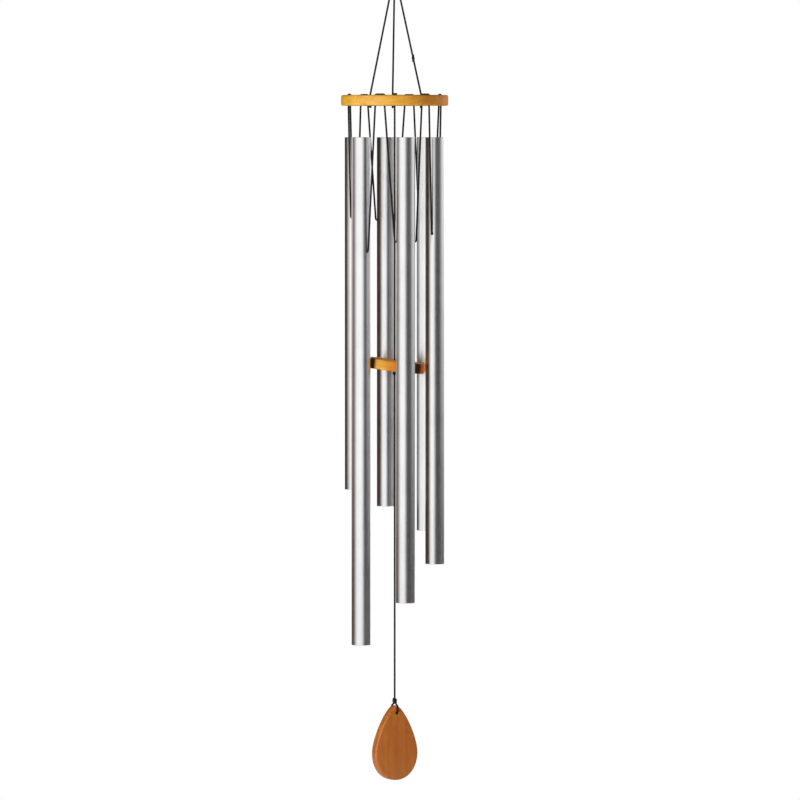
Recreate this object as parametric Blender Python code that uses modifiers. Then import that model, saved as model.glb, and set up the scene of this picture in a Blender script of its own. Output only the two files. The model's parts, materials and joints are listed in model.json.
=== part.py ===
"""A six-tube wind chime, as a Blender 4.5 script.

Metres, +Z up, -Y is the front. The origin is where a hook bears inside the hanger ring, and
everything hangs below it: ring, knot, three suspension cords, a round wooden disc, six aluminium
tubes laced to the disc with one long cord, and a centre cord with a round clapper and a sail.
"""

import math

import bmesh
import bpy
from mathutils import Vector

MM = 0.001

# Cord
CORD_RADIUS = 1.35 * MM
CORD_SECTION = 2  # bevel resolution of every cord
GAP = 0.3 * MM  # left between pieces that touch
END_GAP = 0.5 * MM  # left where two lengths of cord meet at a pivot
HOLE_RADIUS = 2.0 * MM  # a drilled hole that takes one cord
KNOT_SWELL = ((0.0, 1.0), (0.6, 1.75), (2.2, 2.15), (4.0, 1.85), (5.2, 1.1), (6.6, 0.95))  # mm, factor

# Hanger ring and the knot below it
HANGER_WIRE = 1.5 * MM
HANGER_RADIUS = 13.5 * MM
LOOP_RADIUS = HANGER_WIRE + CORD_RADIUS + GAP
HANGER_KNOT = (4.2 * MM, 5.0 * MM)  # radius, half height
HANGER_KNOT_DROP = 7.5 * MM  # below the wire's centre

# Suspension cords
SUSPENSION_RISE = 176.0 * MM  # from the disc's top to the knot
SUSPENSION_RADIUS = 43.9 * MM  # of the circle of their holes
SUSPENSION_TOP_RADIUS = 1.75 * MM
SUSPENSIONS = (("right", -26.0), ("back", 94.0), ("left", 214.0))
REPAIR_KNOT_RISE = 55.0 * MM  # small knot in the right cord, above the disc
REPAIR_KNOT_SWELL = ((3.5, 1.0), (1.5, 1.7), (-1.5, 1.7), (-3.5, 1.0))  # mm, factor
ENTRY_RISE = 1.0 * MM  # where a suspension cord turns down into its hole
ENTRY_DEPTH = 2.0 * MM

# Top disc
DISC_RADIUS = 80.5 * MM
DISC_THICKNESS = 16.0 * MM
DISC_EDGE = 2.5 * MM

# Tubes: plan angle in degrees, length, and how far each has settled along its cord
TUBES = (
    (221.5, 761.0 * MM, -4.0 * MM),
    (281.5, 696.0 * MM, 3.5 * MM),
    (341.5, 640.5 * MM, 0.0),
    (41.5, 594.0 * MM, 0.0),
    (101.5, 558.5 * MM, 0.0),
    (161.5, 530.5 * MM, 1.5 * MM),
)
TUBE_RADIUS = 14.3 * MM
TUBE_WALL = 1.6 * MM
TUBE_TOP_DROP = 47.2 * MM  # below the disc's underside
NODE_SHARE = 0.224  # of the length, where a free tube's first tone has its node
WALL_HOLE_RADIUS = 2.3 * MM
TUBE_SIDES = 32

# Lacing: two holes for each tube, so two close holes between each pair of tubes
LACING_RADIUS = 69.7 * MM
LACING_SPREAD = 24.0  # degrees from a tube to each of its holes
BRIDGE_SPREAD = 6.0  # degrees from the middle of a bridge to each of its holes
STRAND_STAND_OFF = 2.1 * MM  # of a strand's centre from the tube's wall, at the hole
BEND = 2.5 * MM

# Clapper
CLAPPER_RADIUS = 45.5 * MM
CLAPPER_THICKNESS = 15.5 * MM
CLAPPER_EDGE = 2.5 * MM
CLAPPER_DROP = 390.0 * MM  # of its centre, below the disc's underside
CLAPPER_TILT = 7.0  # degrees, right side low
CLAPPER_HOLE = 2.5 * MM
CLAPPER_KNOT = (3.4 * MM, 3.6 * MM)

# Sail
SAIL_TIP_DROP = 903.0 * MM  # below the disc's underside
SAIL_HEIGHT = 112.7 * MM
SAIL_HALF_WIDTH = 36.3 * MM
SAIL_WIDEST = 72.0 * MM  # below the tip
SAIL_FOOT_HANDLE = 0.6  # of the half width: a foot a little flatter than an ellipse
SAIL_THICKNESS = 15.0 * MM
SAIL_EDGE = 3.0 * MM
SAIL_TURN = 29.0  # degrees about Z
SAIL_TIP_HANDLE = 11.0 * MM
SAIL_SIDE_HANDLE = 25.0 * MM
ROUND_HANDLE = 0.5523  # of the radius, for a quarter circle
SAIL_HOLE_RADIUS = 2.6 * MM
SAIL_CORD_DEPTH = 10.0 * MM  # of the loop's lowest centreline, below the tip
SAIL_LOOP_CLEARANCE = 2.0 * MM  # of the loop's centre from each face
SAIL_KNOT = (3.3 * MM, 5.2 * MM)
SAIL_KNOT_RISE = 6.6 * MM  # of the knot's centre, above the tip
SAIL_KNOT_LEGS = ((1.0 * MM, -1.0 * MM), (2.4 * MM, -2.6 * MM))  # the loop's start, in the knot

# Levels
HANGER_CENTRE_Z = HANGER_WIRE - HANGER_RADIUS
LOOP_Z = HANGER_CENTRE_Z - HANGER_RADIUS
HANGER_KNOT_Z = LOOP_Z - HANGER_KNOT_DROP
SUSPENSION_TOP_Z = HANGER_KNOT_Z - HANGER_KNOT[1] - GAP
DISC_TOP_Z = SUSPENSION_TOP_Z - SUSPENSION_RISE
DISC_UNDER_Z = DISC_TOP_Z - DISC_THICKNESS
TUBE_TOP_Z = DISC_UNDER_Z - TUBE_TOP_DROP
TUBE_RING_RADIUS = LACING_RADIUS * math.cos(math.radians(LACING_SPREAD))
CLAPPER_Z = DISC_UNDER_Z - CLAPPER_DROP
CLAPPER_UNDER_Z = CLAPPER_Z - CLAPPER_THICKNESS / 2 / math.cos(math.radians(CLAPPER_TILT))
CLAPPER_KNOT_Z = CLAPPER_UNDER_Z - END_GAP - CLAPPER_KNOT[1]
SAIL_TIP_Z = DISC_UNDER_Z - SAIL_TIP_DROP
SAIL_KNOT_Z = SAIL_TIP_Z + SAIL_KNOT_RISE
SAIL_HOLE_DROP = SAIL_CORD_DEPTH - CORD_RADIUS - GAP + SAIL_HOLE_RADIUS


def clear_scene():
    for obj in list(bpy.data.objects):
        bpy.data.objects.remove(obj, do_unlink=True)


def new_collection(name):
    collection = bpy.data.collections.new(name)
    bpy.context.scene.collection.children.link(collection)
    return collection


def new_material(name, colour, roughness, metallic=0.0):
    material = bpy.data.materials.new(name)
    material.use_nodes = True
    shader = material.node_tree.nodes["Principled BSDF"]
    shader.inputs["Base Color"].default_value = (*colour, 1.0)
    shader.inputs["Roughness"].default_value = roughness
    shader.inputs["Metallic"].default_value = metallic
    return material


clear_scene()
PARTS = new_collection("wind_chime")
CUTTERS = new_collection("wind_chime_cutters")
CUTTERS.hide_render = True
ALUMINIUM = new_material("satin_aluminium", (0.62, 0.62, 0.63), 0.32, 1.0)
STEEL = new_material("steel_ring", (0.55, 0.55, 0.57), 0.2, 1.0)
WOOD = new_material("stained_wood", (0.62, 0.28, 0.07), 0.4)
SAIL_WOOD = new_material("stained_sail_wood", (0.38, 0.13, 0.03), 0.42)
CORD = new_material("black_cord", (0.03, 0.03, 0.028), 0.8)


# --- Building blocks ------------------------------------------------------------------------


def add_object(name, data, material, parent=None):
    obj = bpy.data.objects.new(name, data)
    if material:
        obj.data.materials.append(material)
    PARTS.objects.link(obj)
    obj.parent = parent
    return obj


def place(obj, position, turn=0.0):
    """Puts an object at a world position, turned about Z; its parent, if any, isn't turned."""
    base = obj.parent.location if obj.parent else Vector()
    obj.location = Vector(position) - base
    obj.rotation_euler = (0, 0, math.radians(turn))
    return obj


def pivot(name, position):
    """An empty on a joint's axis, for pieces whose own origin is elsewhere."""
    empty = bpy.data.objects.new(name, None)
    PARTS.objects.link(empty)
    empty.location = position
    return empty


def polar(radius, degrees, z=0.0):
    angle = math.radians(degrees)
    return Vector((radius * math.cos(angle), radius * math.sin(angle), z))


def cord(name, points, factors=None, parent=None):
    """A cord through the points; factors swell it where it is knotted."""
    curve = bpy.data.curves.new(name, "CURVE")
    curve.dimensions = "3D"
    curve.bevel_depth = CORD_RADIUS
    curve.bevel_resolution = CORD_SECTION
    curve.use_fill_caps = True
    spline = curve.splines.new("POLY")
    spline.points.add(len(points) - 1)
    for index, point in enumerate(points):
        spline.points[index].co = (*point, 1.0)
        spline.points[index].radius = factors[index] if factors else 1.0
    return add_object(name, curve, CORD, parent)


def bend(centre, radius, start, end, steps=4):
    """Points (s, z) along an arc between two directions in degrees."""
    angles = (math.radians(start + (end - start) * i / steps) for i in range(steps + 1))
    return [(centre[0] + radius * math.cos(a), centre[1] + radius * math.sin(a)) for a in angles]


def mesh_from(name, build):
    """A mesh made by a function of its bmesh."""
    shape = bmesh.new()
    build(shape)
    mesh = bpy.data.meshes.new(name)
    shape.to_mesh(mesh)
    shape.free()
    return mesh


def knot_mesh(name, size, centre=(0, 0, 0)):
    def build(shape):
        bmesh.ops.create_uvsphere(shape, u_segments=12, v_segments=8, radius=1.0)
        bmesh.ops.scale(shape, vec=(size[0], size[0], size[1]), verts=shape.verts)
        bmesh.ops.translate(shape, vec=centre, verts=shape.verts)

    return mesh_from(name, build)


def cylinder_mesh(name, radius, depth, sides, spots=((0, 0, 0),)):
    """One or more upright cylinders, centred on the spots."""

    def build(shape):
        for spot in spots:
            made = bmesh.ops.create_cone(
                shape, cap_ends=True, segments=sides, radius1=radius, radius2=radius, depth=depth
            )
            bmesh.ops.translate(shape, vec=spot, verts=made["verts"])

    return mesh_from(name, build)


def helper(name, data):
    """A cutter or other operand, left out of the model."""
    obj = bpy.data.objects.new(name, data)
    CUTTERS.objects.link(obj)
    obj.hide_render = True
    obj.display_type = "WIRE"
    return obj


def boolean(obj, other, operation):
    modifier = obj.modifiers.new(other.name, "BOOLEAN")
    modifier.operation = operation
    modifier.object = other


def round_edges(obj, width, segments):
    modifier = obj.modifiers.new("rounded_edges", "BEVEL")
    modifier.width = width
    modifier.segments = segments
    modifier.limit_method = "ANGLE"


def smooth(obj):
    obj.data.shade_smooth()
    obj.data.set_sharp_from_angle(angle=math.radians(40))


def curve_to_mesh(obj):
    """Replaces a curve object by a welded mesh object of the same name, which a Boolean can use."""
    graph = bpy.context.evaluated_depsgraph_get()
    mesh = bpy.data.meshes.new_from_object(obj.evaluated_get(graph))
    shape = bmesh.new()
    shape.from_mesh(mesh)
    bmesh.ops.remove_doubles(shape, verts=shape.verts, dist=0.01 * MM)
    bmesh.ops.recalc_face_normals(shape, faces=shape.faces)
    shape.to_mesh(mesh)
    shape.free()
    name, parent, matrix = obj.name, obj.parent, obj.matrix_world.copy()
    bpy.data.objects.remove(obj, do_unlink=True)
    made = add_object(name, mesh, None, parent)
    made.matrix_world = matrix
    return made


# --- Hanging point --------------------------------------------------------------------------


def make_hanger_ring():
    bpy.ops.mesh.primitive_torus_add(
        major_radius=HANGER_RADIUS,
        minor_radius=HANGER_WIRE,
        major_segments=40,
        minor_segments=10,
        location=(0, 0, HANGER_CENTRE_Z),
        rotation=(math.pi / 2, 0, 0),
    )
    ring = bpy.context.object
    ring.name = "hanger_ring"
    ring.data.materials.append(STEEL)
    for collection in list(ring.users_collection):
        collection.objects.unlink(ring)
    PARTS.objects.link(ring)
    smooth(ring)


def make_hanging_knot():
    """The loop round the ring's wire, tied off in a knot; it rocks on the wire."""
    bpy.ops.mesh.primitive_torus_add(
        major_radius=LOOP_RADIUS,
        minor_radius=CORD_RADIUS,
        major_segments=20,
        minor_segments=8,
        location=(0, 0, LOOP_Z),
        rotation=(0, math.pi / 2, 0),
    )
    loop = bpy.context.object
    loop.name = "hanging_knot"
    loop.data.materials.append(CORD)
    for collection in list(loop.users_collection):
        collection.objects.unlink(loop)
    PARTS.objects.link(loop)
    knot = helper("hanging_knot_body", knot_mesh("hanging_knot_body", HANGER_KNOT))
    knot.location = (0, 0, HANGER_KNOT_Z)
    boolean(loop, knot, "UNION")


def make_suspension_cord(side, degrees, parent):
    """From the knot down to the disc, through its hole, to a stopper knot under it."""
    top = polar(SUSPENSION_TOP_RADIUS, degrees, SUSPENSION_TOP_Z)
    entry = polar(SUSPENSION_RADIUS, degrees, DISC_TOP_Z + ENTRY_RISE)
    points, factors = [top], [1.0]
    if side == "right":
        for step, factor in REPAIR_KNOT_SWELL:
            rise = REPAIR_KNOT_RISE + step * MM
            share = (SUSPENSION_TOP_Z - DISC_TOP_Z - rise) / (SUSPENSION_TOP_Z - entry.z)
            points.append(top.lerp(entry, share))
            factors.append(factor)
    points += [entry, polar(SUSPENSION_RADIUS, degrees, DISC_TOP_Z - ENTRY_DEPTH)]
    factors += [1.0, 1.0]
    for drop, factor in KNOT_SWELL:
        points.append(polar(SUSPENSION_RADIUS, degrees, DISC_UNDER_Z - GAP - drop * MM))
        factors.append(factor)
    base = parent.location
    cord(f"suspension_cord_{side}", [p - base for p in points], factors, parent)


# --- Top disc and lacing --------------------------------------------------------------------


def lacing_holes():
    angles = [t[0] + side * LACING_SPREAD for t in TUBES for side in (-1, 1)]
    return [polar(LACING_RADIUS, a) for a in angles]


def make_top_disc(parent):
    mesh = cylinder_mesh("top_disc", DISC_RADIUS, DISC_THICKNESS, 72)
    disc = add_object("top_disc", mesh, WOOD, parent)
    place(disc, (0, 0, (DISC_TOP_Z + DISC_UNDER_Z) / 2))
    spots = lacing_holes() + [polar(SUSPENSION_RADIUS, a) for _, a in SUSPENSIONS] + [Vector()]
    holes = cylinder_mesh("top_disc_holes", HOLE_RADIUS, 2 * DISC_THICKNESS, 12, spots)
    cutter = helper("top_disc_holes", holes)
    cutter.location = (0, 0, (DISC_TOP_Z + DISC_UNDER_Z) / 2)
    smooth(disc)
    round_edges(disc, DISC_EDGE, 3)
    boolean(disc, cutter, "DIFFERENCE")


def make_lacing_bridge(number, degrees, parent):
    """The lacing cord where it crosses the disc's top from one tube's hole to the next tube's."""
    middle = LACING_RADIUS * math.cos(math.radians(BRIDGE_SPREAD))
    half = LACING_RADIUS * math.sin(math.radians(BRIDGE_SPREAD))
    crest = DISC_THICKNESS + CORD_RADIUS + GAP
    right = [(half, GAP)] + bend((half - BEND, crest - BEND), BEND, 0, 90)
    profile = right + [(-s, z) for s, z in reversed(right)]
    bridge = cord(f"lacing_bridge_{number}", [(0, s, z) for s, z in profile], parent=parent)
    place(bridge, polar(middle, degrees, DISC_UNDER_Z), degrees)


# --- Tubes ----------------------------------------------------------------------------------


def make_tube_cord(number, degrees, length, offset):
    """Two strands down from the disc and the short run through the tube between them."""
    hang = -(TUBE_TOP_DROP + NODE_SHARE * length)
    top = LACING_RADIUS * math.sin(math.radians(LACING_SPREAD))
    reach = TUBE_RADIUS + STRAND_STAND_OFF
    arc = bend((reach - BEND, hang + BEND), BEND, 0, -90)
    right = [(top, -END_GAP)] + [(s + offset, z) for s, z in arc]
    left = [(-top, -END_GAP)] + [(offset - s, z) for s, z in arc]
    profile = right + left[::-1]
    strands = cord(f"tube_cord_{number}", [(0, s, z) for s, z in profile])
    place(strands, polar(TUBE_RING_RADIUS, degrees, DISC_UNDER_Z), degrees)


def make_tube(number, degrees, length, offset):
    """A drawn tube whose origin is on its wall holes' axis, where it swings on its cord."""
    above, below = NODE_SHARE * length, (1 - NODE_SHARE) * length
    inner = TUBE_RADIUS - TUBE_WALL

    def profile(shape):
        corners = ((TUBE_RADIUS, above), (TUBE_RADIUS, -below), (inner, -below), (inner, above))
        points = [shape.verts.new((x, 0, z)) for x, z in corners]
        for index in range(4):
            shape.edges.new((points[index], points[(index + 1) % 4]))

    name = f"tube_{number}"
    tube = add_object(name, mesh_from(name, profile), ALUMINIUM)
    radial = polar(TUBE_RING_RADIUS, degrees, TUBE_TOP_Z - above)
    place(tube, radial + polar(offset, degrees + 90), degrees)
    screw = tube.modifiers.new("turned", "SCREW")
    screw.steps = screw.render_steps = TUBE_SIDES
    screw.use_merge_vertices = True
    screw.merge_threshold = 0.05 * MM
    mesh = cylinder_mesh(f"{name}_wall_holes", WALL_HOLE_RADIUS, 4 * TUBE_RADIUS, 12)
    cutter = helper(f"{name}_wall_holes", mesh)
    drop = WALL_HOLE_RADIUS - CORD_RADIUS - GAP
    cutter.location = tube.location - Vector((0, 0, drop))
    cutter.rotation_euler = (math.pi / 2, 0, math.radians(degrees))
    boolean(tube, cutter, "DIFFERENCE")


# --- Clapper --------------------------------------------------------------------------------


def make_centre_knot():
    """The knot on the disc that holds up the centre cord, with its short run through the disc."""
    points, factors = [(0, 0, GAP)], [1.0]
    for rise, factor in KNOT_SWELL:
        points.append((0, 0, DISC_THICKNESS + GAP + rise * MM))
        factors.append(factor)
    knot = cord("centre_knot", points, factors)
    place(knot, (0, 0, DISC_UNDER_Z))


def make_clapper(parent):
    end = CLAPPER_UNDER_Z - DISC_UNDER_Z
    cord("clapper_cord", [(0, 0, -END_GAP), (0, 0, end / 2), (0, 0, end)], parent=parent)
    mesh = cylinder_mesh("clapper", CLAPPER_RADIUS, CLAPPER_THICKNESS, 56)
    clapper = add_object("clapper", mesh, WOOD, parent)
    clapper.location = (0, 0, -CLAPPER_DROP)
    clapper.rotation_euler = (0, math.radians(CLAPPER_TILT), 0)
    mesh = cylinder_mesh("clapper_hole", CLAPPER_HOLE, 3 * CLAPPER_THICKNESS, 16)
    cutter = helper("clapper_hole", mesh)
    cutter.location = (0, 0, CLAPPER_Z)
    cutter.rotation_euler = clapper.rotation_euler
    smooth(clapper)
    round_edges(clapper, CLAPPER_EDGE, 3)
    boolean(clapper, cutter, "DIFFERENCE")


def make_clapper_knot():
    knot = add_object("clapper_knot", knot_mesh("clapper_knot", CLAPPER_KNOT), CORD)
    place(knot, (0, 0, CLAPPER_KNOT_Z))


# --- Sail -----------------------------------------------------------------------------------


def make_sail_cord():
    top = -CLAPPER_KNOT[1] - GAP
    end = SAIL_KNOT_Z + SAIL_KNOT[1] + GAP - CLAPPER_KNOT_Z
    line = cord("sail_cord", [(0, 0, top), (0, 0, (top + end) / 2), (0, 0, end)])
    place(line, (0, 0, CLAPPER_KNOT_Z))


def make_sail_loop():
    """The loop through the sail's hole, over its rounded tip, tied in a knot above it."""
    face = SAIL_THICKNESS / 2 + SAIL_LOOP_CLEARANCE
    edge_centre = (SAIL_THICKNESS / 2 - SAIL_EDGE, -SAIL_EDGE)
    side = bend(edge_centre, face - edge_centre[0], 45, 0)
    turn = bend((face - BEND, BEND - SAIL_CORD_DEPTH), BEND, 0, -90)
    legs = [(s, SAIL_KNOT_RISE + z) for s, z in SAIL_KNOT_LEGS]
    half = legs + side + turn
    profile = half + [(-s, z) for s, z in reversed(half)]
    points = [(0, s, z - SAIL_KNOT_RISE) for s, z in profile]
    loop = place(cord("sail_loop", points), (0, 0, SAIL_KNOT_Z), SAIL_TURN)
    bpy.context.view_layer.update()
    loop = curve_to_mesh(loop)
    knot = helper("sail_loop_knot", knot_mesh("sail_loop_knot", SAIL_KNOT))
    knot.location = (0, 0, SAIL_KNOT_Z)
    boolean(loop, knot, "UNION")


def sail_outline():
    """Points of the teardrop as (x, y, handle before, handle after), from its hole's centre."""
    tip = SAIL_HOLE_DROP
    widest = tip - SAIL_WIDEST
    bottom = tip - SAIL_HEIGHT
    belly = ROUND_HANDLE * (widest - bottom)
    floor = SAIL_FOOT_HANDLE * SAIL_HALF_WIDTH
    return (
        (0, tip, (-SAIL_TIP_HANDLE, 0), (SAIL_TIP_HANDLE, 0)),
        (SAIL_HALF_WIDTH, widest, (0, SAIL_SIDE_HANDLE), (0, -belly)),
        (0, bottom, (floor, 0), (-floor, 0)),
        (-SAIL_HALF_WIDTH, widest, (0, -belly), (0, SAIL_SIDE_HANDLE)),
    )


def make_sail():
    """A flat teardrop with rounded edges, standing upright, its origin on its hole's axis."""
    curve = bpy.data.curves.new("sail", "CURVE")
    curve.dimensions = "2D"
    curve.fill_mode = "BOTH"
    curve.extrude = SAIL_THICKNESS / 2 - SAIL_EDGE
    curve.bevel_depth = SAIL_EDGE
    curve.bevel_resolution = 1
    curve.offset = -SAIL_EDGE
    curve.resolution_u = 10
    spline = curve.splines.new("BEZIER")
    outline = sail_outline()
    spline.bezier_points.add(len(outline) - 1)
    spline.use_cyclic_u = True
    for point, (x, y, before, after) in zip(spline.bezier_points, outline):
        point.co = (x, y, 0)
        point.handle_left_type = point.handle_right_type = "FREE"
        point.handle_left = (x + before[0], y + before[1], 0)
        point.handle_right = (x + after[0], y + after[1], 0)
    sail = add_object("sail", curve, SAIL_WOOD)
    sail.location = (0, 0, SAIL_TIP_Z - SAIL_HOLE_DROP)
    sail.rotation_euler = (math.pi / 2, 0, math.radians(SAIL_TURN))
    bpy.context.view_layer.update()
    sail = curve_to_mesh(sail)
    mesh = cylinder_mesh("sail_hole", SAIL_HOLE_RADIUS, 3 * SAIL_THICKNESS, 16)
    cutter = helper("sail_hole", mesh)
    cutter.location = sail.location
    cutter.rotation_euler = sail.rotation_euler
    smooth(sail)
    boolean(sail, cutter, "DIFFERENCE")


def main():
    make_hanger_ring()
    make_hanging_knot()
    hang = pivot("suspension_pivot", (0, 0, SUSPENSION_TOP_Z + GAP / 2))
    for side, degrees in SUSPENSIONS:
        make_suspension_cord(side, degrees, hang)
    make_top_disc(hang)
    for index, (degrees, length, offset) in enumerate(TUBES):
        make_lacing_bridge(index + 1, degrees + 30, hang)
        make_tube_cord(index + 1, degrees, length, offset)
        make_tube(index + 1, degrees, length, offset)
    make_centre_knot()
    make_clapper(pivot("clapper_pivot", (0, 0, DISC_UNDER_Z)))
    make_clapper_knot()
    make_sail_cord()
    make_sail_loop()
    make_sail()


main()
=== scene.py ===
"""The looks of the wind chime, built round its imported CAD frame.

Metres, +Z up, and -Y is the front."""

import json
import math

import bmesh
import bpy
import numpy as np
from mathutils import Matrix, Vector

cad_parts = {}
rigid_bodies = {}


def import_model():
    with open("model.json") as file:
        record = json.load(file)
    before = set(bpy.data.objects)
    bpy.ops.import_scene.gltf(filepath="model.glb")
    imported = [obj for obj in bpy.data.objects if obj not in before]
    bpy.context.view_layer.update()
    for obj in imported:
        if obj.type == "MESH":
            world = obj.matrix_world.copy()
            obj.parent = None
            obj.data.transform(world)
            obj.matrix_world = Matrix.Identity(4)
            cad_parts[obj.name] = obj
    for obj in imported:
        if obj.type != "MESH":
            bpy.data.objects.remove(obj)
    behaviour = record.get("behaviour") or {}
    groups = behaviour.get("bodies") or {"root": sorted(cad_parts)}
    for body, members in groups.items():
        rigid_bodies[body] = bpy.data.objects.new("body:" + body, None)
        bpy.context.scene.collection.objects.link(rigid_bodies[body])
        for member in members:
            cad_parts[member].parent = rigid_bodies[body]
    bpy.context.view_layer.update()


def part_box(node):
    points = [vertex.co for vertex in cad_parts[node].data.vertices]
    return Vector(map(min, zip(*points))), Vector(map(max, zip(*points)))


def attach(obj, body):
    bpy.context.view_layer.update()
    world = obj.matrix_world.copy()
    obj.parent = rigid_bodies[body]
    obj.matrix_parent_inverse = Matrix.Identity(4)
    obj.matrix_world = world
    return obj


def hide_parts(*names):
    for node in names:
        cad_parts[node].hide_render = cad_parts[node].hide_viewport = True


MM = 0.001

# Driving sizes, the same as the CAD's
CORD_RADIUS = 1.35 * MM
GAP = 0.3 * MM
HOLE_RADIUS = 2.0 * MM
LACING_RADIUS = 69.7 * MM
LACING_SPREAD = 24.0
BRIDGE_SPREAD = 6.0
SUSPENSION_RADIUS = 43.9 * MM
SUSPENSION_TOP_RADIUS = 1.75 * MM
SUSPENSIONS = (("right", -26.0), ("back", 94.0), ("left", 214.0))
REPAIR_KNOT_RISE = 55.0 * MM
TUBES = (  # (degrees round the disc, length, shift along its cord)
    (221.5, 761.0 * MM, -4.0 * MM),
    (281.5, 696.0 * MM, 3.5 * MM),
    (341.5, 640.5 * MM, 0.0),
    (41.5, 594.0 * MM, 0.0),
    (101.5, 558.5 * MM, 0.0),
    (161.5, 530.5 * MM, 1.5 * MM),
)
TUBE_RADIUS = 14.3 * MM
TUBE_WALL = 1.6 * MM
NODE_SHARE = 0.224  # of a tube's length from its top: its upper still point, where it hangs
WALL_HOLE_RADIUS = 2.3 * MM
STRAND_STAND_OFF = 2.1 * MM
BEND = 2.5 * MM
CLAPPER_RADIUS = 45.5 * MM
CLAPPER_THICKNESS = 15.5 * MM
CLAPPER_TILT = 7.0
CLAPPER_HOLE = 2.5 * MM
SAIL_WIDEST = 72.0 * MM
SAIL_HALF_WIDTH = 36.3 * MM
SAIL_FOOT_HANDLE = 0.6  # of the half width: a foot a little flatter than an ellipse
ROUND_HANDLE = 0.5523  # the share that makes a quarter ellipse of one Bezier curve
SAIL_HEIGHT = 112.7 * MM
SAIL_THICKNESS = 15.0 * MM
SAIL_EDGE = 3.0 * MM
SAIL_TURN = 29.0
SAIL_CORD_DEPTH = 10.0 * MM
SAIL_HOLE_RADIUS = 2.6 * MM
SAIL_KNOT_HALF = 5.2 * MM

# Visual detail
CORD_SIDES = 14
CORD_STEP = 0.75 * MM
BRAID_PITCH = 3.0 * MM
BRAID_STRANDS = 4
BRAID_RELIEF = 0.06  # of the cord's radius
CORD_FUZZ = 1.06  # the strands' crests, as a share of the cord's radius
KNOT_STEP = 0.45 * MM
BRIDGE_FLATNESS = 0.74  # of a bridge's height, left once it is pulled flat
TUBE_SIDES = 128
DISC_SIDES = 192
CLAPPER_SIDES = 144
DISC_EDGE = 2.6 * MM
TUBE_EDGE = 0.35 * MM
HOLE_FLARE = 0.35 * MM
CREASE = math.radians(35)  # edges sharper than this stay sharp
STAIN_AND_LIGHT_REACH = 80.0 * MM  # how far from the middle the rim tint's stops run, stain and painted light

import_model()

# Levels and radii, read from the frame
RING_LOW, RING_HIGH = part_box("hanger_ring")
HANGER_WIRE = (RING_HIGH.y - RING_LOW.y) / 2
HANGER_RADIUS = (RING_HIGH.x - RING_LOW.x) / 2 - HANGER_WIRE
HANGER_Z = (RING_LOW.z + RING_HIGH.z) / 2
DISC_LOW, DISC_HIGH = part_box("top_disc")
DISC_RADIUS = (DISC_HIGH.x - DISC_LOW.x) / 2
DISC_TOP = DISC_HIGH.z
DISC_UNDER = DISC_LOW.z
TUBE_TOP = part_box("tube_1")[1].z
SUSPENSION_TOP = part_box("suspension_cord_left")[1].z
HANGER_KNOT_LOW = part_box("hanging_knot")[0].z
CLAPPER_LOW, CLAPPER_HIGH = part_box("clapper")
CLAPPER_Z = (CLAPPER_LOW.z + CLAPPER_HIGH.z) / 2
CLAPPER_KNOT_LOW, CLAPPER_KNOT_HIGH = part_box("clapper_knot")
SAIL_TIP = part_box("sail")[1].z
SAIL_KNOT_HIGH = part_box("sail_loop")[1].z


# --- Shader helpers --------------------------------------------------------------------------


class Shader:
    """A Principled material and a short way to add nodes to it."""

    def __init__(self, name, **settings):
        self.material = bpy.data.materials.new(name)
        self.material.use_nodes = True
        self.tree = self.material.node_tree
        self.principled = self.tree.nodes["Principled BSDF"]
        for key, value in settings.items():
            self.principled.inputs[key.replace("_", " ")].default_value = value

    def add(self, kind, inputs=(), **properties):
        """A node of that kind; inputs maps a socket's name or number to a value or a socket."""
        node = self.tree.nodes.new(f"ShaderNode{kind}")
        for key, value in properties.items():
            setattr(node, key, value)
        for key, value in dict(inputs).items():
            self.feed(node.inputs[key], value)
        return node

    def feed(self, socket, value):
        if isinstance(value, bpy.types.NodeSocket):
            self.tree.links.new(value, socket)
        else:
            socket.default_value = value

    def set(self, key, value):
        self.feed(self.principled.inputs[key], value)

    def math(self, operation, *values):
        return self.add("Math", enumerate(values), operation=operation).outputs[0]

    def placed(self, scale=(1, 1, 1), turn=(0, 0, 0), shift=(0, 0, 0)):
        """The object's own coordinates, turned in degrees, shifted, and then scaled."""
        base = self.add("TexCoord").outputs["Object"]
        angles = tuple(math.radians(a) for a in turn)
        turned = self.add("Mapping", {"Vector": base, "Location": shift, "Rotation": angles})
        return self.add("Mapping", {"Vector": turned.outputs[0], "Scale": scale}).outputs[0]

    def noise(self, vector, scale, detail=3.0, roughness=0.5):
        inputs = {"Vector": vector, "Scale": scale, "Detail": detail, "Roughness": roughness}
        return self.add("TexNoise", inputs).outputs["Fac"]

    def ramp(self, factor, *stops):
        """Colours at positions along a factor."""
        node = self.add("ValToRGB", {"Fac": factor})
        elements = node.color_ramp.elements
        while len(elements) < len(stops):
            elements.new(0.5)
        for element, (position, colour) in zip(elements, stops):
            element.position = position
            element.color = (*colour, 1.0)
        return node.outputs["Color"]

    def mix(self, factor, first, second, blend="MIX"):
        node = self.add("Mix", data_type="RGBA", blend_type=blend)
        self.feed(node.inputs[0], factor)
        self.feed(node.inputs[6], first)
        self.feed(node.inputs[7], second)
        return node.outputs[2]

    def span(self, value, low, high):
        """A 0 to 1 value spread over low to high."""
        inputs = {"Value": value, "To Min": low, "To Max": high}
        return self.add("MapRange", inputs).outputs[0]

    def bump(self, height, strength, distance):
        inputs = {"Height": height, "Strength": strength, "Distance": distance}
        self.set("Normal", self.add("Bump", inputs).outputs[0])


def rgb(red, green, blue):
    """A colour given as it shows on a screen, 0 to 255, as the linear values a shader takes."""
    shown = (red / 255, green / 255, blue / 255)
    return tuple(c / 12.92 if c <= 0.04045 else ((c + 0.055) / 1.055) ** 2.4 for c in shown)


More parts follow.
